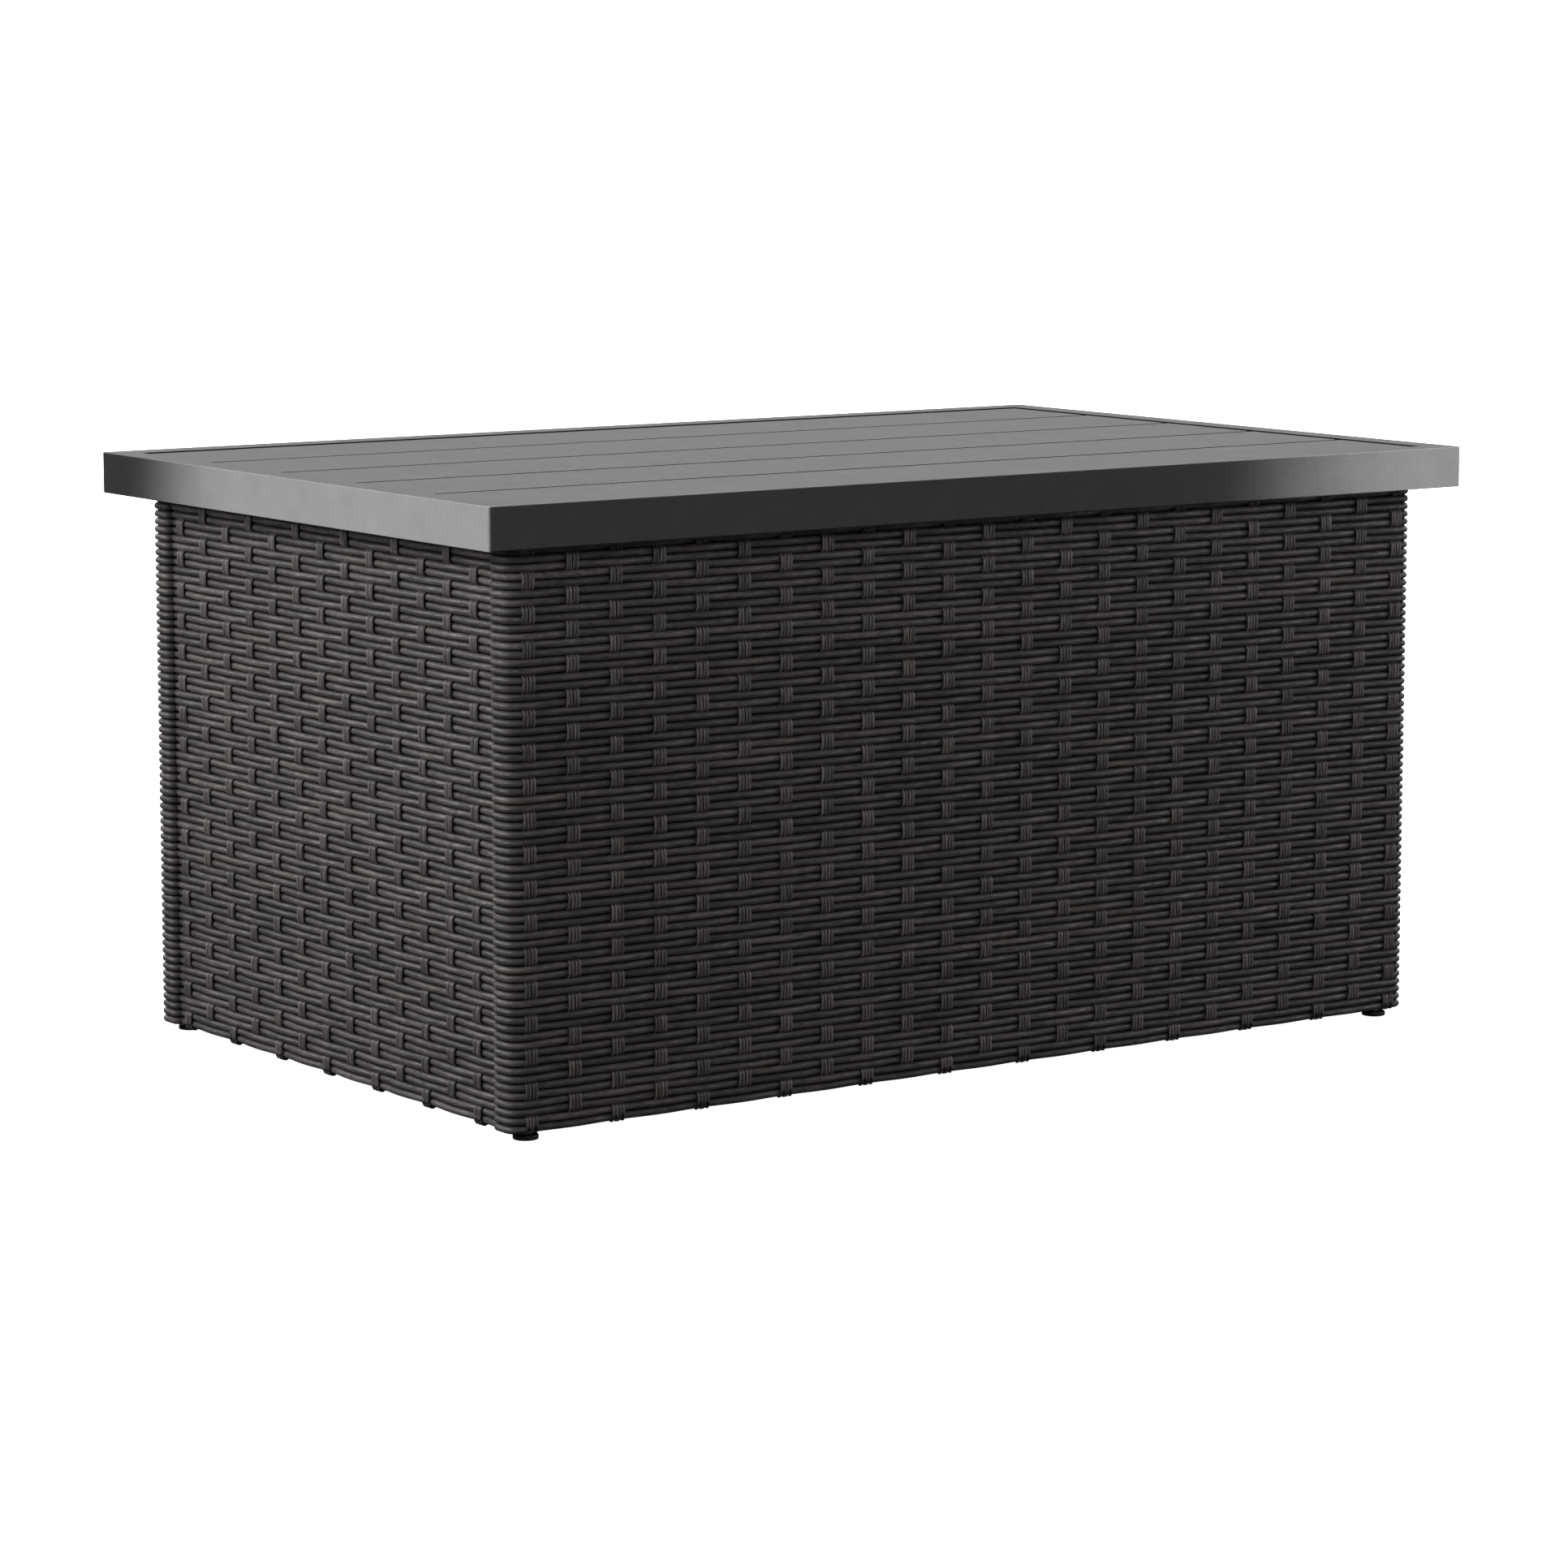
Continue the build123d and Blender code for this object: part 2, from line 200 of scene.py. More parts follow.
def build_mesh(name, verts, quads, caps, uvs, values):
    """A smooth mesh of quads and end caps, with its bake map and its named values on every point."""
    mesh = bpy.data.meshes.new(name)
    loops = np.concatenate([quads.ravel(), *caps])
    sizes = np.concatenate([np.full(len(quads), 4), [len(cap) for cap in caps]])
    starts = np.concatenate([[0], np.cumsum(sizes)[:-1]])
    mesh.vertices.add(len(verts))
    mesh.vertices.foreach_set("co", verts.astype(np.float32).ravel())
    mesh.loops.add(len(loops))
    mesh.loops.foreach_set("vertex_index", loops.astype(np.int32))
    mesh.polygons.add(len(sizes))
    mesh.polygons.foreach_set("loop_start", starts.astype(np.int32))
    mesh.update(calc_edges=True)
    mesh.validate()
    layer = mesh.uv_layers.new(name=BAKE_LAYER)
    layer.data.foreach_set("uv", uvs.astype(np.float32).ravel())
    for key, parts in values.items():
        attribute = mesh.attributes.new(key, "FLOAT", "POINT")
        attribute.data.foreach_set("value", np.concatenate(parts).astype(np.float32))
    mesh.polygons.foreach_set("use_smooth", np.ones(len(sizes), bool))
    return mesh


def strands_piece(name, strands):
    """One piece of closed tubes. Each strand is a dict: rings (n, k, 3), along (n,), painted shade (k,) or
    (n, k), and one tone, which on the stakes is raised as painted light."""
    quads = []
    caps = []
    side_uvs = []
    cap_uvs = []
    values = {"along": [], "around": [], "tone": [], "crevice": []}
    start = 0
    for band, strand in enumerate(strands):
        n, k, _ = strand["rings"].shape
        ring, place, corners = tube_faces(n, k)
        quads.append(start + corners)
        side_uvs.append(tube_uvs(ring, place, k, strand["along"], band, len(strands)))
        caps.append(start + np.arange(k)[::-1])
        caps.append(start + (n - 1) * k + np.arange(k))
        for u in (CAP_END, 1 - CAP_END):
            cap_uvs.append(np.tile([u, (band + 0.5) / len(strands)], (k, 1)))
        values["along"].append(np.repeat(strand["along"], k))
        values["around"].append(np.tile(np.arange(k) / k, n))
        values["tone"].append(np.full(n * k, strand["tone"]))
        values["crevice"].append(np.broadcast_to(strand["crevice"], (n, k)).ravel())
        start += n * k
    verts = np.concatenate([strand["rings"].reshape(-1, 3) for strand in strands])
    uvs = np.concatenate([*side_uvs, *cap_uvs])
    mesh = build_mesh(name, verts, np.concatenate(quads), caps, uvs, values)
    piece = bpy.data.objects.new(name, mesh)
    bpy.context.scene.collection.objects.link(piece)
    return piece


def sweep(path, out, side, section):
    """Rings of a section of (across, outward, shade) points, along a path with its out and side vectors."""
    across = section[:, 0][None, :, None]
    outward = section[:, 1][None, :, None]
    return path[:, None, :] + across * side[:, None, :] + outward * out[:, None, :]


def length_along(path):
    steps = np.linalg.norm(np.diff(path, axis=0), axis=1)
    return np.concatenate([[0.0], np.cumsum(steps)])


def strand_section(lowest=False):
    """A rounded strand on a flat back, whose two thin lips close the gap to its neighbours. Each point is
    (across, outward, shade), the last being painted shade that darkens the colour down in the gaps."""
    angles = np.linspace(-STRAND_EDGE_ANGLE, STRAND_EDGE_ANGLE, STRAND_FRONT_POINTS)
    across = np.sign(angles) * np.abs(np.sin(angles)) ** STRAND_SQUARENESS
    outward = np.abs(np.cos(angles)) ** STRAND_SQUARENESS
    crevice = np.clip(1 - PAINTED_SHADE_STEEPNESS * (1 - np.abs(angles) / STRAND_EDGE_ANGLE), 0, 1)
    front = np.stack([STRAND_HALF_HEIGHT * across, STRAND_DEPTH * outward, crevice], axis=1)
    lower_lip = LOWEST_LIP if lowest else STRAND_LIP
    return np.concatenate([[[-lower_lip, -STRAND_BACK, 1.0]], front, [[STRAND_LIP, -STRAND_BACK, 1.0]]])


def stake_section(w):
    """A flat strip of half width w, with a ridge along each edge and a hollow between them. Each point is
    (across, outward, shade), the last being painted shade that darkens the hollows, middle and edges."""
    hollow = (STAKE_HOLLOW_PLACE * w, STAKE_HOLLOW, 0.5)
    ridge = (STAKE_RIDGE_PLACE * w, STAKE_RIDGE, 0.0)
    edge = (w, 0.0, 0.9)
    middle = (0.0, STAKE_MIDDLE_DEPTH, 0.9)
    back = (0.0, -STAKE_RIDGE, 1.0)
    left_half = [(-x, y, crevice) for x, y, crevice in (edge, ridge, hollow)]
    return np.array([*left_half, middle, hollow, ridge, edge, back])


# ---- the woven panels ------------------------------------------------------------------------------
class Face:
    """A flat side of the base: h runs to the right seen from outside, d inward from the skin, z up."""

    def __init__(self, origin, right, out):
        self.origin = np.array(origin)
        self.right = np.array(right, float)
        self.out = np.array(out, float)

    def point(self, h, d, z):
        h, d, z = np.broadcast_arrays(h, d, z)
        flat = self.origin + h[..., None] * self.right - d[..., None] * self.out
        flat[..., 2] = z
        return flat


def wander(positions, wavelength, amount):
    """A wandering value along a strand: a few sines with random phases."""
    value = np.zeros_like(positions)
    for octave in range(WANDER_OCTAVES):
        phase = rng.uniform(0, 2 * math.pi)
        turns = positions / (wavelength / (WANDER_OCTAVE_STEP ** octave))
        value += np.sin(2 * math.pi * turns + phase) / (octave + WANDER_FADE)
    return value * amount


def undulation(h, columns, pitch, marked_first):
    """Depth of a weaver's middle: deep under the stakes that lie over it, shallow over the others."""
    phase = (h - columns[0]) / pitch + (0 if marked_first else 1)
    swing = 0.5 + 0.5 * np.cos(math.pi * phase)
    return OVER_DEPTH + (UNDER_DEPTH - OVER_DEPTH) * swing


def column_places(count, pitch, shift=0.0):
    return (np.arange(count) - (count - 1) / 2) * pitch + shift


def weaver_rows(bottom, top):
    """The pair row and height of each weaver strand."""
    rows = []
    for row in range(ROW_COUNT):
        for strand in range(2):
            z = bottom + row * PAIR_PITCH + (strand + 0.5) * STRAND_PITCH
            if z + STRAND_HALF_HEIGHT < top:
                rows.append((row, z))
    return rows


def weaver(path, out, crevice, section):
    """One lengthwise strand with a tone of its own."""
    upright = np.tile([0.0, 0.0, 1.0], (len(path), 1))
    return {"rings": sweep(path, out, upright, section), "along": length_along(path), "crevice": crevice,
            "tone": rng.uniform()}


def wrap_path(half_face, return_length):
    """Plan of a long panel's strand seen from outside, right half only: the corner, the return and the
    curled-in nose. Gives points (h, d), outward directions (h, d) and each point's painted shade."""
    corner_radius = WRAP_RADIUS - WRAP_DEPTH
    corner_h = half_face - WRAP_RADIUS
    side_h = half_face - WRAP_DEPTH
    nose_h = side_h - NOSE_RADIUS
    end_d = return_length - NOSE_RADIUS - STRAND_DEPTH
    rows = []
    for angle in np.radians(np.linspace(0, 90, CORNER_POINTS)):
        sin = math.sin(angle)
        cos = math.cos(angle)
        rows.append((corner_h + corner_radius * sin, WRAP_RADIUS - corner_radius * cos, sin, -cos,
                     WRAP_SHADE * sin))
    for share in (0.5, 1.0):
        rows.append((side_h, WRAP_RADIUS + share * (end_d - WRAP_RADIUS), 1.0, 0.0, WRAP_SHADE))
    for angle in np.radians(NOSE_DEGREES):
        sin = math.sin(angle)
        cos = math.cos(angle)
        rows.append((nose_h + NOSE_RADIUS * cos, end_d + NOSE_RADIUS * sin, cos, sin, WRAP_SHADE))
    rows.append((nose_h - NOSE_TAIL, end_d + NOSE_RADIUS, 0.0, 1.0, WRAP_SHADE))
    rows = np.array(rows)
    return rows[:, 0:2], rows[:, 2:4], rows[:, 4]


def long_weavers(name, face, half_face, return_length, bottom, top):
    """The lengthwise strands of a front or back panel, wrapped round both corners."""
    columns = column_places(LONG_COLUMNS, LONG_COLUMN_PITCH)
    straight = np.linspace(columns[0], columns[-1], (LONG_COLUMNS - 1) * STEPS_PER_COLUMN + 1)
    flat = np.zeros(len(straight))
    right, right_out, right_shade = wrap_path(half_face, return_length)
    left = right[::-1] * [-1, 1]
    left_out = right_out[::-1] * [-1, 1]
    h = np.concatenate([left[:, 0], straight, right[:, 0]])
    out_h = np.concatenate([left_out[:, 0], flat, right_out[:, 0]])
    out_d = np.concatenate([left_out[:, 1], flat - 1, right_out[:, 1]])
    out = out_h[:, None] * face.right - out_d[:, None] * face.out
    shade = np.concatenate([right_shade[::-1], flat, right_shade])
    strands = []
    for row, z in weaver_rows(bottom, top):
        section = strand_section(lowest=not strands)
        # Painted shade: the gaps' painted darkening joined with the wrapped ends' painted darkening.
        crevice = 1 - (1 - section[:, 2][None, :]) * (1 - shade[:, None])
        wave = undulation(straight, columns, LONG_COLUMN_PITCH, row % 2 == 0)
        rise = wander(h, *LONG_RISE_WANDER)
        d = np.concatenate([left[:, 1], wave, right[:, 1]]) + wander(h, *LONG_DEPTH_WANDER)
        strands.append(weaver(face.point(h, d, z + rise), out, crevice, section))
    return strands_piece(name, strands)


def end_weavers(name, face, half_face, bottom, top):
    """The strands of an end panel, running in behind the wraps at both seams."""
    columns = column_places(END_COLUMNS, END_COLUMN_PITCH, END_COLUMN_SHIFT)
    reach = half_face + END_REACH
    steps = int(round(2 * reach / END_COLUMN_PITCH * STEPS_PER_COLUMN))
    h = np.linspace(-reach, reach, steps + 1)
    out = np.tile(face.out, (len(h), 1))
    tuck = SEAM_TUCK * np.clip((np.abs(h) - half_face) / SEAM_TUCK_LENGTH + 1, 0, 1) ** 2
    strands = []
    for row, z in weaver_rows(bottom, top):
        section = strand_section(lowest=not strands)
        wave = undulation(h, columns, END_COLUMN_PITCH, row % 2 == 0)
        d = wave + wander(h, *END_DEPTH_WANDER) + tuck
        rise = wander(h, *END_RISE_WANDER)
        strands.append(weaver(face.point(h, d, z + rise), out, section[:, 2], section))
    return strands_piece(name, strands)


def stake_profile(bottom, marked_first, sag):
    """Depth and height of a stake's middle from its tucked end under the base to the top."""
    start = LOOP_UNDER_PAIR if marked_first else START_BEHIND_PAIR
    points = [(STAKE_OVER + STAKE_TUCK, bottom + TUCK_RISE)]
    points += [(d, bottom + z - share * sag) for d, z, share in start]
    upper = list(STAKE_OVER_PAIR)
    lower = [(d, -z) for d, z in reversed(upper[1:])]
    for row in range(ROW_COUNT):
        centre = bottom + (row + 0.5) * PAIR_PITCH
        if (row % 2 == 0) != marked_first:
            shape = [(STAKE_BEHIND, 0.0)]
        elif row == 0:
            shape = lower[-1:] + upper
        else:
            shape = lower + upper
        points += [(d, centre + z) for d, z in shape]
    return np.array(points)


def stakes(name, face, columns, share, sag, tones_with_painted_light, bottom, top):
    """The upright strips, two to a column, over one pair of strands and behind the next."""
    section = stake_section(share * STAKE_HALF_WIDTH)
    strands = []
    for index, column in enumerate(columns):
        for side_sign in (-1, 1):
            profile = stake_profile(bottom, index % 2 == 0, sag)
            profile = profile[profile[:, 1] < top - STAKE_TOP_GAP]
            d = profile[:, 0]
            z = profile[:, 1]
            h = column + side_sign * share * STAKE_OFFSET + wander(z, *STAKE_SIDE_WANDER)
            path = face.point(h, d + wander(z, *STAKE_DEPTH_WANDER), z)
            tangent = np.gradient(path, axis=0)
            tangent -= (tangent @ face.right)[:, None] * face.right
            tangent /= np.linalg.norm(tangent, axis=1)[:, None]
            side = np.tile(face.right, (len(h), 1))
            out = np.cross(side, tangent)
            # The strip's tone is set high as painted light, so it comes out brighter than the strands.
            strands.append({"rings": sweep(path, out, side, section), "along": length_along(path),
                            "crevice": section[:, 2], "tone": rng.uniform(*tones_with_painted_light)})
    return strands_piece(name, strands)


# ---- materials -------------------------------------------------------------------------------------
NO_TINT = (1.0, 1.0, 1.0)
COOL_TINT = (1.03, 0.975, 1.02)
WARM_TINT = (1.01, 1.0, 0.95)
STRAND_DARK = (0.062, 0.0565, 0.0585)
STRAND_MIDDLE = (0.083, 0.0755, 0.0755)
STRAND_LIGHT = (0.110, 0.0985, 0.0955)
STRAND_SHIFT = 61.0
POWDER_DARK = (0.190, 0.190, 0.191)
POWDER_LIGHT = (0.212, 0.212, 0.212)
FRAME_DARK = (0.022, 0.020, 0.019)
FRAME_LIGHT = (0.034, 0.031, 0.030)
PLASTIC_DARK = (0.008, 0.008, 0.009)
PLASTIC_LIGHT = (0.022, 0.022, 0.022)
STEEL_DARK = (0.42, 0.42, 0.43)
STEEL_LIGHT = (0.6, 0.6, 0.59)
TOP_BORDER = 15.0 * MM
GAP_SHADE = 0.08


class Nodes:
    """A short way to build a node tree."""

    def __init__(self, name):
        self.material = bpy.data.materials.new(name)
        self.material.use_nodes = True
        self.tree = self.material.node_tree
        self.tree.nodes.clear()
        self.shader = self.add("ShaderNodeBsdfPrincipled")
        output = self.add("ShaderNodeOutputMaterial")
        self.link(self.shader.outputs[0], output.inputs["Surface"])

    def add(self, kind, **settings):
        node = self.tree.nodes.new(kind)
        for key, value in settings.items():
            setattr(node, key, value)
        return node

    def link(self, a, b):
        self.tree.links.new(a, b)

    def put(self, socket, value):
        if hasattr(value, "is_output"):
            self.link(value, socket)
        else:
            socket.default_value = value

    def attribute(self, name):
        return self.add("ShaderNodeAttribute", attribute_name=name).outputs["Fac"]

    def position(self):
        return self.add("ShaderNodeTexCoord").outputs["Object"]

    def separate(self, vector):
        node = self.add("ShaderNodeSeparateXYZ")
        self.link(vector, node.inputs[0])
        return node.outputs

    def combine(self, x, y, z):
        node = self.add("ShaderNodeCombineXYZ")
        for socket, value in zip(node.inputs, (x, y, z)):
            self.put(socket, value)
        return node.outputs[0]

    def math(self, operation, a, b=0.0):
        node = self.add("ShaderNodeMath", operation=operation)
        self.put(node.inputs[0], a)
        self.put(node.inputs[1], b)
        return node.outputs[0]

    def noise(self, vector, scale, detail, rough):
        node = self.add("ShaderNodeTexNoise")
        self.link(vector, node.inputs["Vector"])
        node.inputs["Scale"].default_value = scale
        node.inputs["Detail"].default_value = detail
        node.inputs["Roughness"].default_value = rough
        return node.outputs["Fac"]

    def remap(self, value, low, high, to_low, to_high):
        node = self.add("ShaderNodeMapRange")
        self.put(node.inputs["Value"], value)
        for key, number in (("From Min", low), ("From Max", high), ("To Min", to_low), ("To Max", to_high)):
            node.inputs[key].default_value = number
        return node.outputs[0]

    def ramp(self, value, stops):
        node = self.add("ShaderNodeValToRGB")
        self.put(node.inputs["Fac"], value)
        ramp = node.color_ramp
        while len(ramp.elements) < len(stops):
            ramp.elements.new(0.5)
        for element, (place, colour) in zip(ramp.elements, stops):
            element.position = place
            element.color = (*colour, 1.0)
        return node.outputs["Color"]

    def times(self, colour, other):
        """A colour times another one, channel by channel."""
        node = self.add("ShaderNodeMix", data_type="RGBA", blend_type="MULTIPLY")
        node.inputs["Factor"].default_value = 1.0
        self.put(node.inputs["A"], colour)
        self.put(node.inputs["B"], other)
        return node.outputs["Result"]

    def dimmed(self, colour, share):
        """A colour times a plain number."""
        return self.times(colour, self.combine(share, share, share))

    def paint(self, colour, roughness):
        self.link(colour, self.shader.inputs["Base Color"])
        self.link(roughness, self.shader.inputs["Roughness"])

    def bump(self, height, strength, distance):
        node = self.add("ShaderNodeBump")
        node.inputs["Strength"].default_value = strength
        node.inputs["Distance"].default_value = distance
        self.link(height, node.inputs["Height"])
        self.link(node.outputs[0], self.shader.inputs["Normal"])


def wicker_material():
    """Extruded resin strand: charcoal brown, each strand its own tone, with streaks along its length.
    Painted shade darkens it in the gaps, and painted light brightens the upright strips.
    """
    m = Nodes("wicker_strand")
    along = m.attribute("along")
    around = m.attribute("around")
    tone = m.attribute("tone")
    shift = m.math("MULTIPLY", tone, STRAND_SHIFT)

    def streaks(along_scale, around_scale, detail):
        u = m.math("MULTIPLY", along, along_scale)
        v = m.math("MULTIPLY", around, around_scale)
        return m.noise(m.combine(u, v, shift), scale=1.0, detail=detail, rough=0.55)

    broad = streaks(along_scale=11.0, around_scale=1.2, detail=2.0)
    streak = streaks(along_scale=75.0, around_scale=6.0, detail=3.0)
    fine = streaks(along_scale=190.0, around_scale=15.0, detail=2.0)
    colour = m.ramp(broad, [(0.36, STRAND_DARK), (0.5, STRAND_MIDDLE), (0.64, STRAND_LIGHT)])
    patches = streaks(along_scale=4.0, around_scale=0.0, detail=1.0)
    colour = m.times(colour, m.ramp(patches, [(0.34, COOL_TINT), (0.5, NO_TINT), (0.64, WARM_TINT)]))
    grain = m.math("ADD", m.math("MULTIPLY", streak, 0.6), m.math("MULTIPLY", fine, 0.4))
    colour = m.dimmed(colour, m.remap(grain, 0.38, 0.62, to_low=0.58, to_high=1.48))
    # Each strand's own random tone; on the upright strips the tone runs higher, as painted light.
    colour = m.dimmed(colour, m.remap(tone, 0.0, TONE_LIMIT, to_low=0.8, to_high=2.4))
    # Painted shade: the colour is darkened in the gaps between strands, in the strips' hollows and on the
    # wraps.
    colour = m.dimmed(colour, m.remap(m.attribute("crevice"), 0.0, 1.0, to_low=1.06, to_high=0.22))
    m.paint(colour, m.remap(grain, 0.38, 0.62, to_low=0.54, to_high=0.37))
    m.bump(grain, strength=0.9, distance=0.9 * MM)
    return m.material


def gap_sides(m):
    """1 on the upright faces inside the top's outline, the sides of its narrow gaps, and 0 elsewhere."""
    geometry = m.add("ShaderNodeNewGeometry")
    place = m.separate(geometry.outputs["Position"])
    normal = m.separate(geometry.outputs["True Normal"])
    upright = m.remap(m.math("ABSOLUTE", normal["Z"]), 0.3, 0.9, to_low=1.0, to_high=0.0)
    inside_x = m.math("LESS_THAN", m.math("ABSOLUTE", place["X"]), cad_high[0] - TOP_BORDER)
    inside_y = m.math("LESS_THAN", m.math("ABSOLUTE", place["Y"]), cad_high[1] - TOP_BORDER)
    return m.math("MULTIPLY", upright, m.math("MULTIPLY", inside_x, inside_y))


def powder_material():
    """Neutral grey powder coat, fine grain and faint mottling, with painted shade in the gaps between slats.
    """
    m = Nodes("grey_powder_coat")
    place = m.position()
    mottle = m.noise(place, scale=38.0, detail=4.0, rough=0.6)
    speck = m.noise(place, scale=900.0, detail=2.0, rough=0.7)
    grain = m.noise(place, scale=2600.0, detail=2.0, rough=0.6)
    colour = m.ramp(mottle, [(0.3, POWDER_DARK), (0.7, POWDER_LIGHT)])
    colour = m.dimmed(colour, m.remap(speck, 0.35, 0.65, to_low=0.86, to_high=1.14))
    # Painted shade: the sides of the gaps between the slats are darkened to GAP_SHADE of their colour.
    colour = m.dimmed(colour, m.remap(gap_sides(m), 0.0, 1.0, to_low=1.0, to_high=GAP_SHADE))
    m.paint(colour, m.remap(speck, 0.3, 0.7, to_low=0.30, to_high=0.42))
    m.bump(m.math("ADD", grain, m.math("MULTIPLY", speck, 0.8)), strength=0.12, distance=0.3 * MM)
    return m.material


def frame_material():
    """Dark brown-black powder coat of the hidden base frame."""
    m = Nodes("dark_frame_paint")
    place = m.position()
    grain = m.noise(place, scale=1800.0, detail=2.0, rough=0.6)
    mottle = m.noise(place, scale=30.0, detail=4.0, rough=0.6)
    m.paint(m.ramp(mottle, [(0.3, FRAME_DARK), (0.7, FRAME_LIGHT)]),
            m.remap(grain, 0.3, 0.7, to_low=0.45, to_high=0.6))
    m.bump(grain, strength=0.15, distance=0.3 * MM)
    return m.material


def plastic_material():
    """Black moulded plastic of the glides and plugs, slightly scuffed."""
    m = Nodes("black_glide_plastic")
    scuff = m.noise(m.position(), scale=420.0, detail=5.0, rough=0.65)
    m.paint(m.ramp(scuff, [(0.4, PLASTIC_DARK), (0.75, PLASTIC_LIGHT)]),
            m.remap(scuff, 0.3, 0.7, to_low=0.36, to_high=0.58))
    m.bump(scuff, strength=0.2, distance=0.3 * MM)
    return m.material


def steel_material():
    """Zinc-plated steel with a faint spangle."""
    m = Nodes("zinc_plated_steel")
    spangle = m.noise(m.position(), scale=300.0, detail=3.0, rough=0.6)
    m.paint(m.ramp(spangle, [(0.3, STEEL_DARK), (0.7, STEEL_LIGHT)]),
            m.remap(spangle, 0.3, 0.7, to_low=0.26, to_high=0.42))
    m.shader.inputs["Metallic"].default_value = 1.0
    m.bump(spangle, strength=0.1, distance=0.2 * MM)
    return m.material


def set_material(piece, material):
    piece.data.materials.clear()
    piece.data.materials.append(material)


def paint_cad_nodes(materials):
    """Gives every carried-over CAD node the material of its slot in the record."""
    for entry in frame["record"]["subparts"]:
        piece = nodes[entry["node"]]
        for slot in piece.material_slots:
            slot.material = materials[entry["material_slot"]]


# ---- building the base -----------------------------------------------------------------------------
# Each panel's way to the right seen from outside, and its way out.
PANEL_TURNS = {
    "front": ((1, 0, 0), (0, -1, 0)),
    "back": ((-1, 0, 0), (0, 1, 0)),
    "left": ((0, -1, 0), (-1, 0, 0)),
    "right": ((0, 1, 0), (1, 0, 0)),
}


def long_panel(side, low, high):
    """The weavers and stakes of the front or back panel, in the box of its plain CAD solid."""
    face = Face((0, low.y if side == "front" else high.y, 0), *PANEL_TURNS[side])
    weavers = long_weavers(f"weavers_{side}", face, high.x, high.y - low.y, low.z, high.z)
    columns = column_places(LONG_COLUMNS, LONG_COLUMN_PITCH)
    strips = stakes(f"stakes_{side}", face, columns, LONG_STAKE_SHARE, LONG_LOOP_SAG, LONG_STAKE_TONES_WITH_PAINTED_LIGHT,
                    low.z, high.z)
    return weavers, strips


def end_panel(side, low, high):
    """The weavers and stakes of the left or right panel, in the box of its plain CAD solid."""
    face = Face((low.x if side == "left" else high.x, 0, 0), *PANEL_TURNS[side])
    bottom = low.z + END_PANEL_LIFT
    weavers = end_weavers(f"weavers_{side}", face, high.y, bottom, high.z)
    columns = column_places(END_COLUMNS, END_COLUMN_PITCH, END_COLUMN_SHIFT)[::-1]
    strips = stakes(f"stakes_{side}", face, columns, END_STAKE_SHARE, END_LOOP_SAG, END_STAKE_TONES_WITH_PAINTED_LIGHT,
                    bottom, high.z)
    return weavers, strips


def make_panel(side, wicker):
    """The strands and stakes of one woven panel, in place of its plain CAD solid."""
    node = f"woven_panel_{side}"
    low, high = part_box(node)
    build = long_panel if side in ("front", "back") else end_panel
    weavers, strips = build(side, low, high)
    for piece in (weavers, strips):
        set_material(piece, wicker)
        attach(piece, "table")
    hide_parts(node)


wicker = wicker_material()
paint_cad_nodes({
    "top_paint": powder_material(),
    "frame_paint": frame_material(),
    "wicker": wicker,
    "glide_plastic": plastic_material(),
    "zinc_steel": steel_material(),
})
for panel_side in PANEL_TURNS:
    make_panel(panel_side, wicker)


# ---- the studio ------------------------------------------------------------------------------------
WHITE = (1.0, 1.0, 1.0, 1.0)
CAMERA_PLACE = (-2.6966, -3.8273, 0.9162)
CAMERA_TURN = 35.144
CAMERA_DOWN = 8.384
CAMERA_LENS = 116.05
CAMERA_SENSOR = 36.0
FLOOR_COLOUR = (0.93, 0.93, 0.93, 1.0)
FLOOR_ROUGHNESS = 0.9
FLOOR_GLOW = 1.0
FLOOR_HALF = 60.0
WORLD_FILL = 0.03
SUN_STRENGTH = 4.8
SUN_SPREAD = 36.0
BEAM_SOURCE_RADIUS = 0.02
# Each beam's name, place, point aimed at, energy, half angle in degrees and softness of its edge.
TOP_BEAMS = (
    ("top_left_beam", (-3.0, -0.25, 0.50), (-0.53, -0.25, 0.50), 395.0, 12.3, 0.6),
    ("top_left_glow", (-3.0, 0.1, 0.50), (-0.53, 0.1, 0.50), 14.0, 25.0, 1.0),
    ("top_front_beam", (0.9, -3.4, 0.50), (0.9, -0.34, 0.50), 475.0, 12.2, 0.6),
    ("top_front_glow", (1.2, -3.4, 0.50), (1.2, -0.34, 0.50), 75.0, 20.0, 1.0),
)
# Each softbox's name, place, point aimed at, width, height and radiance.
TOP_BOXES = (
    ("top_right_box", (2.6, 0.2, 0.5), (0.5, 0.2, 0.5), 1.0, 0.8, 4.0),
    ("top_back_box", (0.2, 2.8, 0.5), (0.2, 0.3, 0.5), 1.0, 0.8, 4.0),
)
BASE_BOXES = (
    ("left_back_box", (-2.4, 1.7, 1.4), (-0.5, 0.0, 0.3), 1.8, 1.0, 6.7),
    ("left_box", (-2.3, -0.3, 1.1), (-0.5, -0.05, 0.25), 1.2, 0.9, 5.4),
    ("front_box", (-0.9, -3.0, 1.6), (-0.2, -0.3, 0.2), 2.4, 1.2, 1.9),
    ("front_right_card", (2.6, -1.8, 0.9), (0.4, -0.3, 0.3), 1.4, 1.2, 3.3),
    ("right_box", (2.6, 0.9, 1.2), (0.5, 0.2, 0.3), 2.0, 1.4, 3.0),
    ("back_box", (0.2, 2.8, 1.2), (0.0, 0.3, 0.3), 2.4, 1.4, 3.0),
)


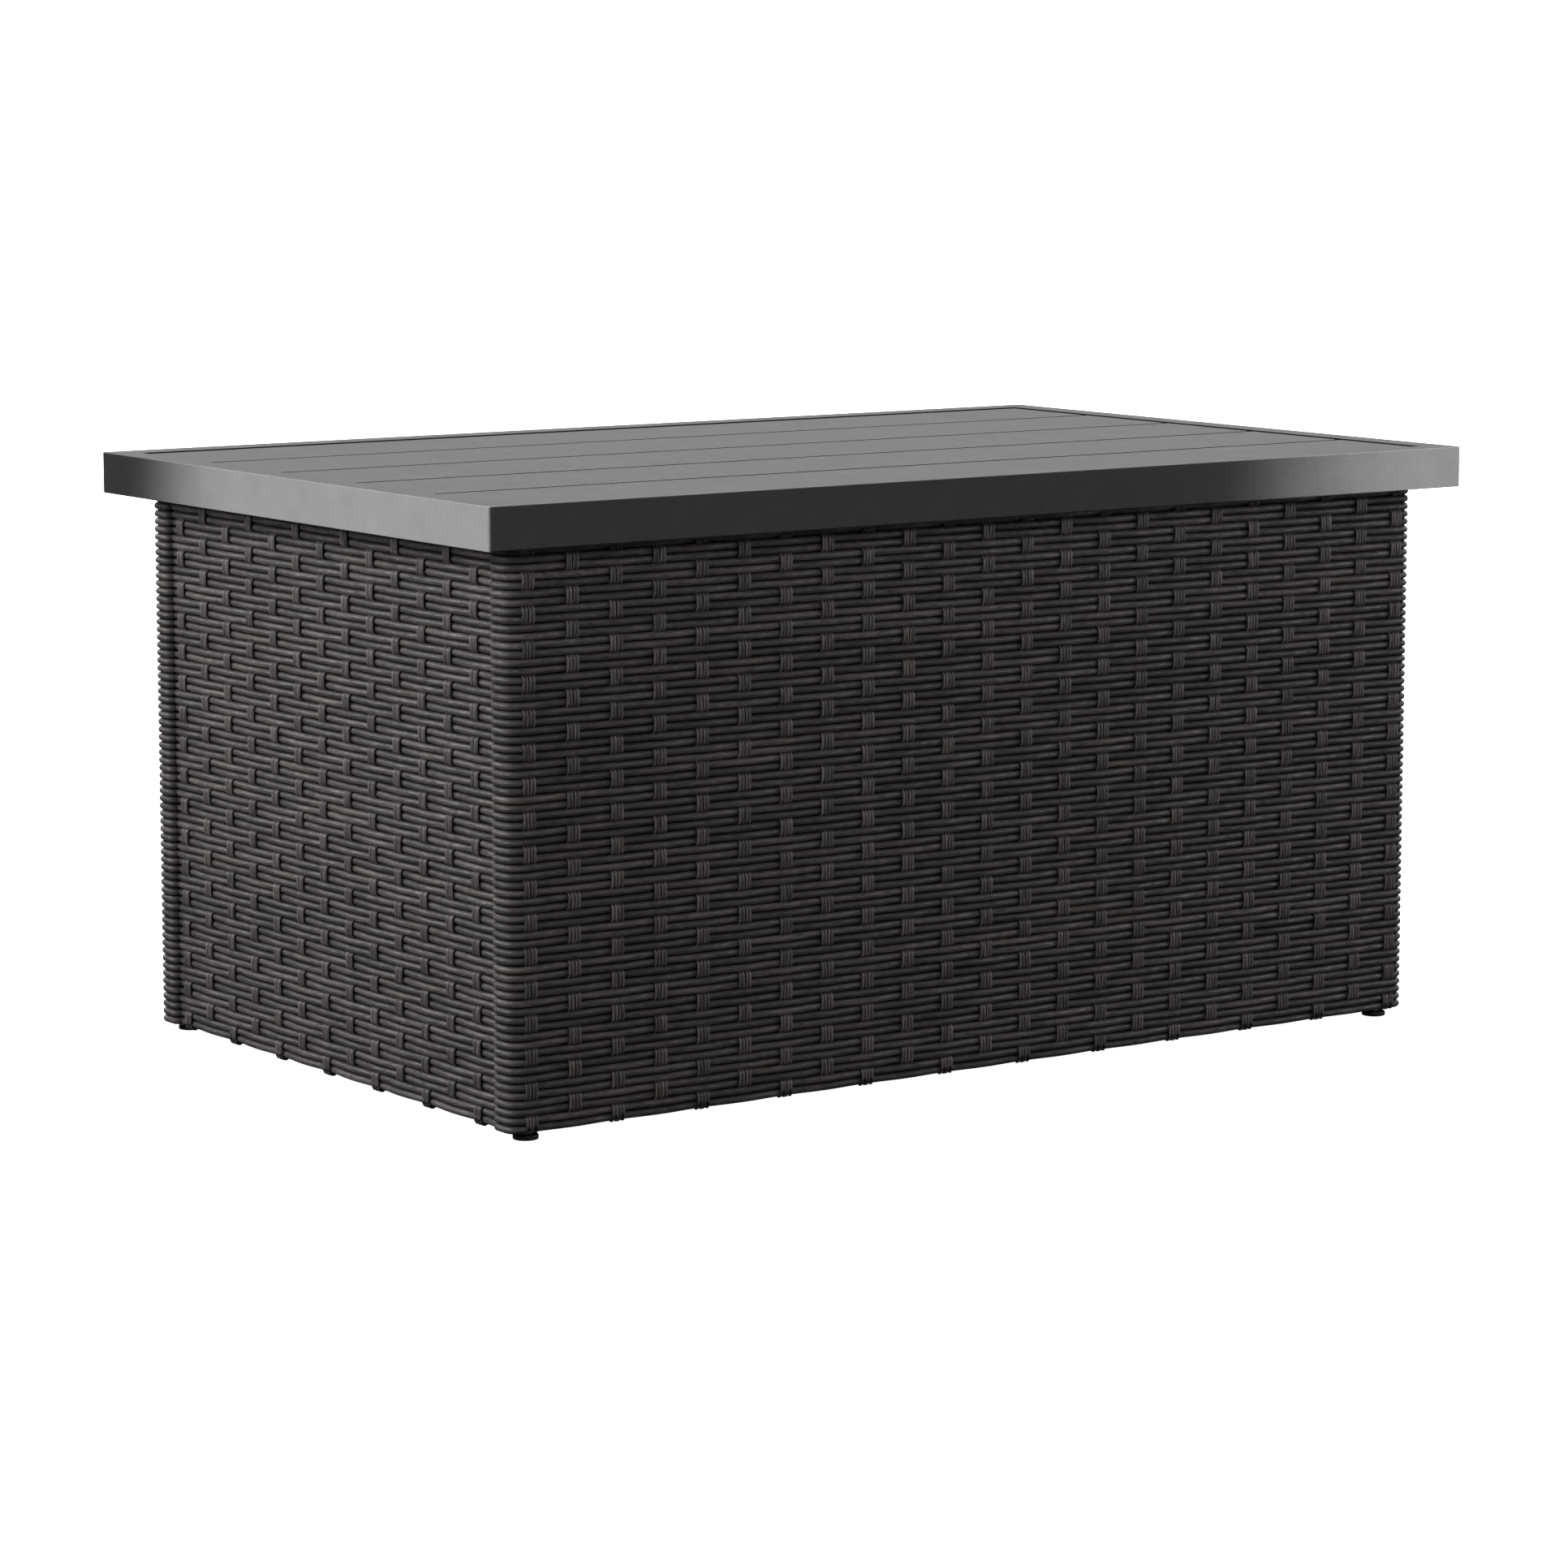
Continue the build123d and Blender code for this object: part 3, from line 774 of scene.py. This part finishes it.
def make_camera():
    data = bpy.data.cameras.new("camera")
    data.lens = CAMERA_LENS
    data.sensor_width = CAMERA_SENSOR
    camera = bpy.data.objects.new("camera", data)
    camera.location = CAMERA_PLACE
    camera.rotation_euler = (math.radians(90 - CAMERA_DOWN), 0.0, math.radians(-CAMERA_TURN))
    bpy.context.scene.collection.objects.link(camera)
    bpy.context.scene.camera = camera


def make_floor():
    """A wide floor that glows white, so it takes no shadow, and throws no light on the object."""
    material = bpy.data.materials.new("pale_floor")
    material.use_nodes = True
    shader = material.node_tree.nodes["Principled BSDF"]
    shader.inputs["Base Color"].default_value = FLOOR_COLOUR
    shader.inputs["Roughness"].default_value = FLOOR_ROUGHNESS
    shader.inputs["Specular IOR Level"].default_value = 0.0
    shader.inputs["Emission Color"].default_value = WHITE
    shader.inputs["Emission Strength"].default_value = FLOOR_GLOW
    mesh = bpy.data.meshes.new("floor")
    corners = [(-1, -1), (1, -1), (1, 1), (-1, 1)]
    mesh.from_pydata([(x * FLOOR_HALF, y * FLOOR_HALF, 0) for x, y in corners], [], [(0, 1, 2, 3)])
    mesh.materials.append(material)
    floor = bpy.data.objects.new("floor", mesh)
    floor.visible_diffuse = False
    floor.visible_glossy = False
    bpy.context.scene.collection.objects.link(floor)


def make_world():
    """White behind the object, and only a faint even light on it."""
    world = bpy.data.worlds.new("studio")
    bpy.context.scene.world = world
    world.use_nodes = True
    tree = world.node_tree
    tree.nodes.clear()
    background = tree.nodes.new("ShaderNodeBackground")
    background.inputs["Color"].default_value = WHITE
    output = tree.nodes.new("ShaderNodeOutputWorld")
    tree.links.new(background.outputs[0], output.inputs["Surface"])
    path = tree.nodes.new("ShaderNodeLightPath")
    seen = tree.nodes.new("ShaderNodeMapRange")
    tree.links.new(path.outputs["Is Camera Ray"], seen.inputs["Value"])
    seen.inputs["To Min"].default_value = WORLD_FILL
    seen.inputs["To Max"].default_value = 1.0
    tree.links.new(seen.outputs[0], background.inputs["Strength"])


def receiver_groups():
    """The top and the floor take their light from one set of lamps, the base from another."""
    top = bpy.data.collections.new("top_and_floor")
    base = bpy.data.collections.new("base")
    for entry in frame["record"]["subparts"]:
        group = top if entry["material_slot"] == "top_paint" else base
        group.objects.link(nodes[entry["node"]])
    for piece in list(bpy.data.objects):
        if piece.name.startswith(("weavers_", "stakes_")):
            base.objects.link(piece)
    top.objects.link(bpy.data.objects["floor"])
    return top, base


def add_light(data, receivers):
    """Puts a lamp in the scene that lights only the pieces of one collection."""
    light = bpy.data.objects.new(data.name, data)
    light.light_linking.receiver_collection = receivers
    bpy.context.scene.collection.objects.link(light)
    return light


def aim(light, place, towards):
    light.location = place
    way = Vector(towards) - Vector(place)
    light.rotation_euler = way.to_track_quat("-Z", "Y").to_euler()


def sun_light(receivers):
    """An even light from straight above."""
    data = bpy.data.lights.new("overhead", "SUN")
    data.energy = SUN_STRENGTH
    data.angle = math.radians(SUN_SPREAD)
    add_light(data, receivers)


def beam_light(name, place, towards, energy, half_angle, softness, receivers):
    """A narrow beam, whose soft edge ends partway along a side of the top."""
    data = bpy.data.lights.new(name, "SPOT")
    data.energy = energy
    data.spot_size = 2 * math.radians(half_angle)
    data.spot_blend = softness
    data.shadow_soft_size = BEAM_SOURCE_RADIUS
    light = add_light(data, receivers)
    light.visible_glossy = False
    aim(light, place, towards)


def box_light(name, place, towards, width, height, radiance, receivers):
    """A flat softbox of an even radiance."""
    data = bpy.data.lights.new(name, "AREA")
    data.shape = "RECTANGLE"
    data.size = width
    data.size_y = height
    data.energy = radiance * math.pi * width * height
    light = add_light(data, receivers)
    light.visible_camera = False
    aim(light, place, towards)


make_camera()
make_floor()
make_world()
for_top, for_base = receiver_groups()
sun_light(for_top)
for beam in TOP_BEAMS:
    beam_light(*beam, for_top)
for box in TOP_BOXES:
    box_light(*box, for_top)
for box in BASE_BOXES:
    box_light(*box, for_base)
bpy.context.scene.view_settings.view_transform = "Standard"
